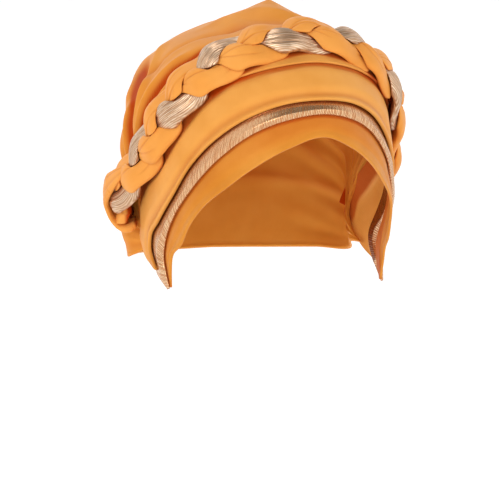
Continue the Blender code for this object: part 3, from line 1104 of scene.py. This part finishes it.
class TURBAN_OT_smooth_bands(bpy.types.Operator):
    """Inner band, wide band and the folded strip under the braid"""

    bl_idname = "turban.smooth_bands"
    bl_label = "Smooth bands"

    def execute(self, context):
        """Sweeps the three bands and gives them satin jersey."""
        hem = context.scene.turban_sizes.hem_radius
        jersey = jersey_material("satin jersey", "#DE9440", "#E69D4A", "#ECA755")
        # A darker copy of the same jersey, painted shade for the inner band under the others
        shaded_jersey = jersey_material("satin jersey of the inner band in painted shade", "#CF8029", "#D78A33", "#DF9540")
        hems = (hem, WIDE_BACK_HEM)
        inner = band("inner_band_cloth", INNER_SECTIONS, INNER_LIFT, INNER_HEMS, inner_relief)
        wide = band("wide_band_cloth", WIDE_SECTIONS, WIDE_LIFT, hems, wide_relief)
        upper = band("upper_band_cloth", UPPER_SECTIONS, UPPER_LIFT, UPPER_HEMS, upper_relief, 20)
        place_piece(inner, "inner_band", shaded_jersey)
        place_piece(wide, "wide_band", jersey)
        place_piece(upper, "upper_band", jersey)
        return {"FINISHED"}


class TURBAN_OT_gold_band(bpy.types.Operator):
    """Metallic band between the inner band and the wide band"""

    bl_idname = "turban.gold_band"
    bl_label = "Gold band"

    def execute(self, context):
        """Sweeps the band and gives it lurex with its threads running across it."""
        lurex = lurex_material(
            "lurex jersey across", math.radians(8), 0.22, 0.5, ("#AC622C", "#CA8E5C", "#E8CAA2")
        )
        gold = band("gold_band_cloth", GOLD_SECTIONS, GOLD_LIFT, GOLD_HEMS, gold_relief)
        place_piece(gold, "gold_band", lurex)
        return {"FINISHED"}


class TURBAN_OT_braid(bpy.types.Operator):
    """Three strands of the braid, one gold and two orange, and its end wraps"""

    bl_idname = "turban.braid"
    bl_label = "Braid"

    def execute(self, context):
        """Sweeps each strand with its pleats, and the cloth that wraps both ends of the braid."""
        sizes = context.scene.turban_sizes
        half = (sizes.strand_half_width, sizes.strand_half_thick)
        jersey = jersey_material("satin jersey of the braid", "#E2903C", "#EA9B47", "#F0A552")
        lurex = lurex_material(
            "lurex jersey along", math.radians(90), 0.34, 0.8, ("#9A6C4A", "#C99E78", "#E8D0B4")
        )
        gold = strand("gold_strand_cloth", 0, *half, gold_pleats)
        first = strand("orange_strand_1_cloth", 1, *half, orange_pleats)
        second = strand("orange_strand_2_cloth", 2, *half, orange_pleats)
        place_piece(gold, "braid_strand_gold", lurex)
        place_piece(first, "braid_strand_orange_1", jersey)
        place_piece(second, "braid_strand_orange_2", jersey)
        for side, way in ((-1, "right"), (1, "left")):
            wrap = end_wrap("braid_wrap_" + way + "_cloth", side)
            wrap.data.materials.append(jersey)
            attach(wrap, "root")
        return {"FINISHED"}


class TURBAN_OT_crown(bpy.types.Operator):
    """Slouchy crown with its folds and its standing corner"""

    bl_idname = "turban.crown"
    bl_label = "Crown"

    def execute(self, context):
        """Sweeps the crown from the braid to the nape hem."""
        along = np.linspace(-1, 1, CROWN_COLUMNS + 1)[:, None]
        share = np.broadcast_to(np.linspace(0, 1, 61)[None, :], (CROWN_COLUMNS + 1, 61))
        line = crown_place(along, share, crown_slack(along, share))
        width = np.linalg.norm(np.diff(line, axis=1), axis=2).sum(axis=1)
        jersey = jersey_material("satin jersey of the crown", "#DA8830", "#E19138", "#E79B42", 0.2)
        grid = (CROWN_COLUMNS, crown_spread(CROWN_ACROSS))
        crown = shell(
            "crown_cloth", crown_place, width, crown_relief, CROWN_WALL, CROWN_HEMS, grid
        )
        place_piece(crown, "crown", jersey)
        return {"FINISHED"}


class TURBAN_OT_stage(bpy.types.Operator):
    """Floor, backdrop, lights and camera"""

    bl_idname = "turban.stage"
    bl_label = "Stage"

    def execute(self, context):
        """Builds a round backdrop, three soft lights and the camera."""
        view = context.scene.turban_view
        self.backdrop(view)
        self.lights()
        self.camera(context, view)
        context.scene.view_settings.view_transform = "Standard"
        return {"FINISHED"}

    def backdrop(self, view):
        """A round bowl: a flat floor, a quarter circle and an upright wall, turned on the axis."""
        bend = np.linspace(0, np.pi / 2, 14)
        radius = np.concatenate(
            [
                np.linspace(0.02, FLOOR_RADIUS, 10),
                FLOOR_RADIUS + BEND_RADIUS * np.sin(bend[1:]),
                [FLOOR_RADIUS + BEND_RADIUS],
            ]
        )
        rise = np.concatenate([np.zeros(10), BEND_RADIUS * (1 - np.cos(bend[1:])), [WALL_RISE]])
        turn = np.linspace(0, 2 * np.pi, 73)[:-1]
        x = radius[:, None] * np.sin(turn)
        y = radius[:, None] * np.cos(turn)
        z = np.broadcast_to(rise[:, None] + FLOOR_RISE, x.shape)
        points = np.stack([x, y, z], axis=-1)
        index, faces = ring_grid(points)
        paper = add_object("backdrop", points, faces + [index[0].tolist()])
        material, shader = new_material("matt paper")
        set_inputs(
            material,
            shader,
            {
                "Base Color": (*view.backdrop, 1.0),
                "Roughness": 0.9,
                "Emission Color": (1.0, 1.0, 1.0, 1.0),
                "Emission Strength": 0.41,
            },
        )
        paper.data.materials.append(material)

    def lights(self):
        """A key from the wearer's right, a fill from the left, a top light and a grey room.

        Each row has the place of a light, its size in metres and its power in watts.
        """
        rows = (
            ("key", (-1.5, -1.6, 0.75), 0.55, 9.0),
            ("fill", (1.1, -1.8, 0.5), 0.9, 3.3),
            ("top", (-0.3, 0.6, 1.8), 0.9, 10.2),
        )
        for name, spot, size, power in rows:
            data = bpy.data.lights.new(name, "AREA")
            data.energy = power
            data.size = size
            light = bpy.data.objects.new(name, data)
            light.location = spot
            away = np.array(spot) - np.array([0.0, 0.0, -0.01])
            light.rotation_euler = look_angles(away)
            bpy.context.scene.collection.objects.link(light)
        world = bpy.data.worlds.new("studio")
        world.use_nodes = True
        glow = world.node_tree.nodes["Background"]
        set_inputs(world, glow, {"Color": (0.16, 0.16, 0.16, 1.0)})
        bpy.context.scene.world = world

    def camera(self, context, view):
        """A long lens at the photo's angle, turned so that the origin lands at its own place."""
        away = np.array(
            [
                math.sin(view.azimuth) * math.cos(view.elevation),
                -math.cos(view.azimuth) * math.cos(view.elevation),
                math.sin(view.elevation),
            ]
        )
        focal = view.distance / (PIXEL * MM)
        right = np.cross([0, 0, 1], away)
        right /= np.linalg.norm(right)
        up = np.cross(away, right)
        aim = -(right * ORIGIN_RIGHT + up * ORIGIN_UP) * PIXEL * MM
        spot = away * view.distance
        data = bpy.data.cameras.new("camera")
        data.sensor_width = 36.0
        data.sensor_fit = "HORIZONTAL"
        data.lens = focal * data.sensor_width / PICTURE_WIDTH
        data.clip_end = 50.0
        camera = bpy.data.objects.new("camera", data)
        camera.location = spot
        camera.rotation_euler = look_angles(spot - aim)
        bpy.context.scene.collection.objects.link(camera)
        context.scene.camera = camera


def look_angles(away):
    """Turns that point a camera or light back along a direction, upright."""
    level = math.hypot(away[0], away[1])
    return (math.atan2(level, away[2]), 0.0, math.atan2(away[0], -away[1]))


class TURBAN_PT_panel(bpy.types.Panel):
    """Lists the pieces of the turban in the sidebar."""

    bl_idname = "TURBAN_PT_panel"
    bl_label = "Braided turban"
    bl_space_type = "VIEW_3D"
    bl_region_type = "UI"
    bl_category = "Turban"

    def draw(self, context):
        """Shows the sizes, then a button for each group of pieces."""
        layout = self.layout
        for name in ("hem_radius", "strand_half_width", "strand_half_thick"):
            layout.prop(context.scene.turban_sizes, name)
        for name in ("azimuth", "elevation", "distance", "backdrop"):
            layout.prop(context.scene.turban_view, name)
        for step in STEPS:
            layout.operator("turban." + step)


STEPS = ("smooth_bands", "gold_band", "braid", "crown", "stage")
CLASSES = (
    TurbanSizes,
    TurbanView,
    TURBAN_OT_smooth_bands,
    TURBAN_OT_gold_band,
    TURBAN_OT_braid,
    TURBAN_OT_crown,
    TURBAN_OT_stage,
    TURBAN_PT_panel,
)


def register():
    """Registers the classes and hangs the two groups of properties on the scene."""
    for kind in CLASSES:
        bpy.utils.register_class(kind)
    bpy.types.Scene.turban_sizes = PointerProperty(type=TurbanSizes)
    bpy.types.Scene.turban_view = PointerProperty(type=TurbanView)


def unregister():
    """Takes the properties and the classes away again."""
    del bpy.types.Scene.turban_view
    del bpy.types.Scene.turban_sizes
    for kind in reversed(CLASSES):
        bpy.utils.unregister_class(kind)


def main():
    """Registers the add-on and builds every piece."""
    register()
    for step in STEPS:
        getattr(bpy.ops.turban, step)()
    bpy.context.view_layer.update()


if __name__ == "__main__":
    main()
